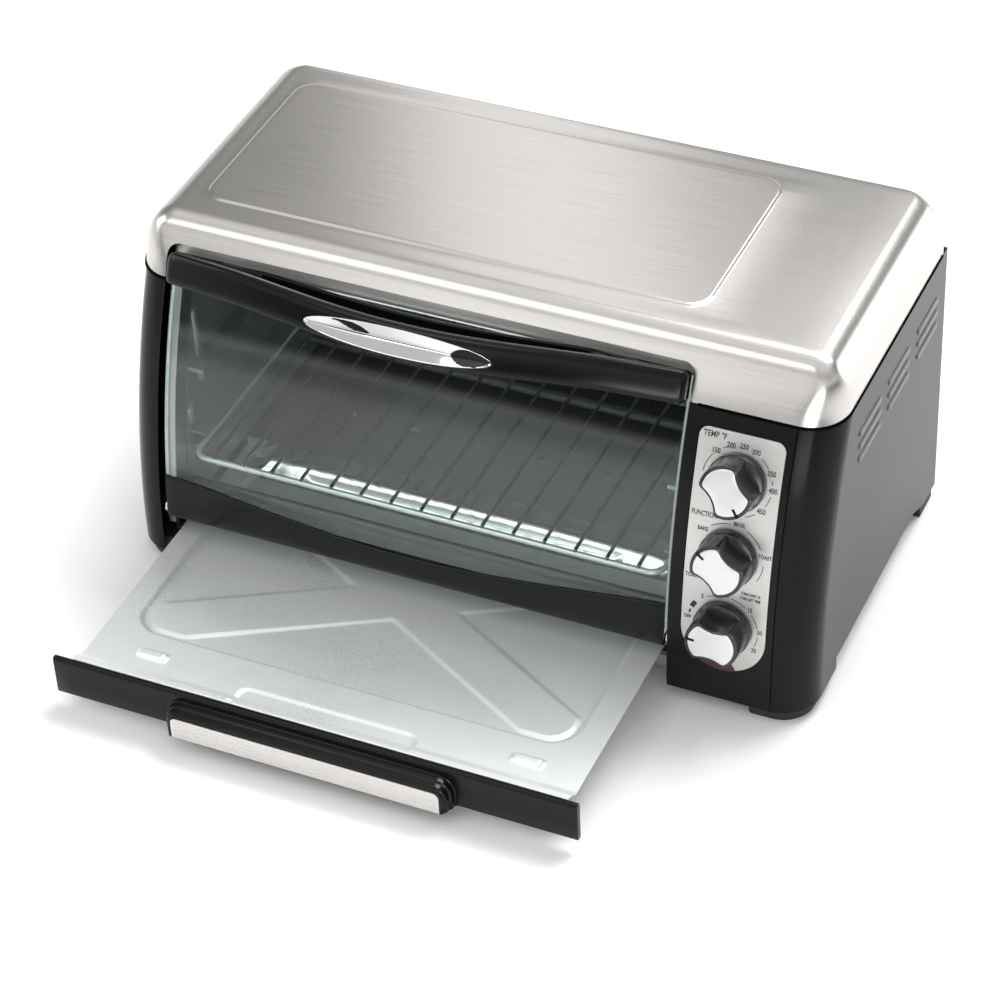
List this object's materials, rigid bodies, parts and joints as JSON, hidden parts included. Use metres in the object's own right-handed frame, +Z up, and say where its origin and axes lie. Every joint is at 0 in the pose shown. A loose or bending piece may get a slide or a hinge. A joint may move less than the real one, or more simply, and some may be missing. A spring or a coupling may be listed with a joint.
{
  "type": "toaster oven",
  "caption": "Countertop toaster oven with a bowed front, drop-down glass door, slide-out crumb tray, wire rack and a column of rotary controls.",
  "frame": {"origin": "centre of the bounding box in plan, at the plane the feet stand on", "axes": "+X towards the control side, along the oven's width; +Y from the door to the back; +Z up"},
  "size_m": [0.46, 0.4138, 0.2346],
  "materials": {
    "stainless": "fine grain along the width, satin",
    "black_paint": "semi-gloss black",
    "black_plastic": "satin black moulding",
    "knob_plastic": "satin charcoal moulding",
    "satin_silver": "satin silver",
    "aluminised": "spangled, semi-bright",
    "cavity_steel": "satin aluminised steel",
    "zinc": "bright zinc plate",
    "element_sheath": "dark oxidised sheath",
    "ceramic": "unglazed",
    "red_lens": "polished, translucent dark red",
    "lamp": "clear",
    "bell_brass": "satin",
    "lead_sleeve": "woven glass sleeve",
    "door_glass": "clear tempered, polished edges",
    "chrome": "mirror bright",
    "rack_chrome": "bright plated wire",
    "tray_steel": "satin blue-grey sheet"
  },
  "bodies": {
    "casing": {"hood": "stainless", "side_panel_left": "black_paint", "side_panel_right": "black_paint", "rear_cover": "black_paint", "base_plate": "aluminised", "foot_front_left": "black_plastic", "foot_front_right": "black_plastic", "foot_rear_left": "black_plastic", "foot_rear_right": "black_plastic", "rear_spacers": "black_plastic", "front_frame": "aluminised", "cavity_left": "cavity_steel", "cavity_right": "cavity_steel", "cavity_top": "cavity_steel", "cavity_back": "cavity_steel", "heat_shield": "aluminised", "tray_guides": "aluminised", "hinge_brackets": "zinc", "upper_element_front": "element_sheath", "upper_element_rear": "element_sheath", "lower_element_front": "element_sheath", "lower_element_rear": "element_sheath", "element_insulators": "ceramic", "control_bezel": "black_plastic", "dial_plate": "satin_silver", "indicator_lens": "red_lens", "indicator_lamp": "lamp", "thermostat": "black_plastic", "function_switch": "black_plastic", "timer": "aluminised", "timer_bell": "bell_brass", "wiring": "lead_sleeve", "cord_gland": "black_plastic", "casing_screws": "zinc", "frame_screws": "zinc"},
    "temperature_dial": {"temperature_knob": "knob_plastic", "temperature_knob_cap": "satin_silver", "temperature_shaft": "zinc"},
    "function_dial": {"function_knob": "knob_plastic", "function_knob_cap": "satin_silver", "function_shaft": "zinc"},
    "timer_dial": {"timer_knob": "knob_plastic", "timer_knob_cap": "satin_silver", "timer_shaft": "zinc"},
    "door": {"door_glass": "door_glass", "door_handle": "black_plastic", "handle_scoop": "chrome", "door_lower_rail": "black_plastic", "door_hinge_pins": "zinc", "door_screws": "zinc"},
    "rack": {"wire_rack": "rack_chrome"},
    "tray": {"crumb_tray": "tray_steel", "tray_front": "black_plastic", "tray_handle": "black_plastic", "tray_handle_plate": "satin_silver"}
  },
  "joints": [
    {"name": "door_hinge", "type": "hinge", "parent": "casing", "child": "door", "pos_m": [0, -0.0481, 0.0435], "axis": [1, 0, 0], "range_deg": [0, 90]},
    {"name": "rack_slide", "type": "slide", "parent": "casing", "child": "rack", "axis": [0, -1, 0], "range_m": [0, 0.056]},
    {"name": "crumb_tray_slide", "type": "slide", "parent": "casing", "child": "tray", "axis": [0, -1, 0], "range_m": [-0.137, 0.055]},
    {"name": "temperature_turn", "type": "hinge", "parent": "casing", "child": "temperature_dial", "pos_m": [0.1747, -0.02883, 0.15881], "axis": [0, 0.9432, -0.3322], "range_deg": [-228, 8]},
    {"name": "function_turn", "type": "hinge", "parent": "casing", "child": "function_dial", "pos_m": [0.1747, -0.04243, 0.11224], "axis": [0, 0.9738, -0.2275], "range_deg": [-80, 128]},
    {"name": "timer_turn", "type": "hinge", "parent": "casing", "child": "timer_dial", "pos_m": [0.1747, -0.05088, 0.06446], "axis": [0, 0.9928, -0.1201], "range_deg": [0, 245]}
  ],
  "couplings": [
    {"joint": "rack_slide", "follows": "door_hinge", "m_per_rad": 0.035}
  ]
}
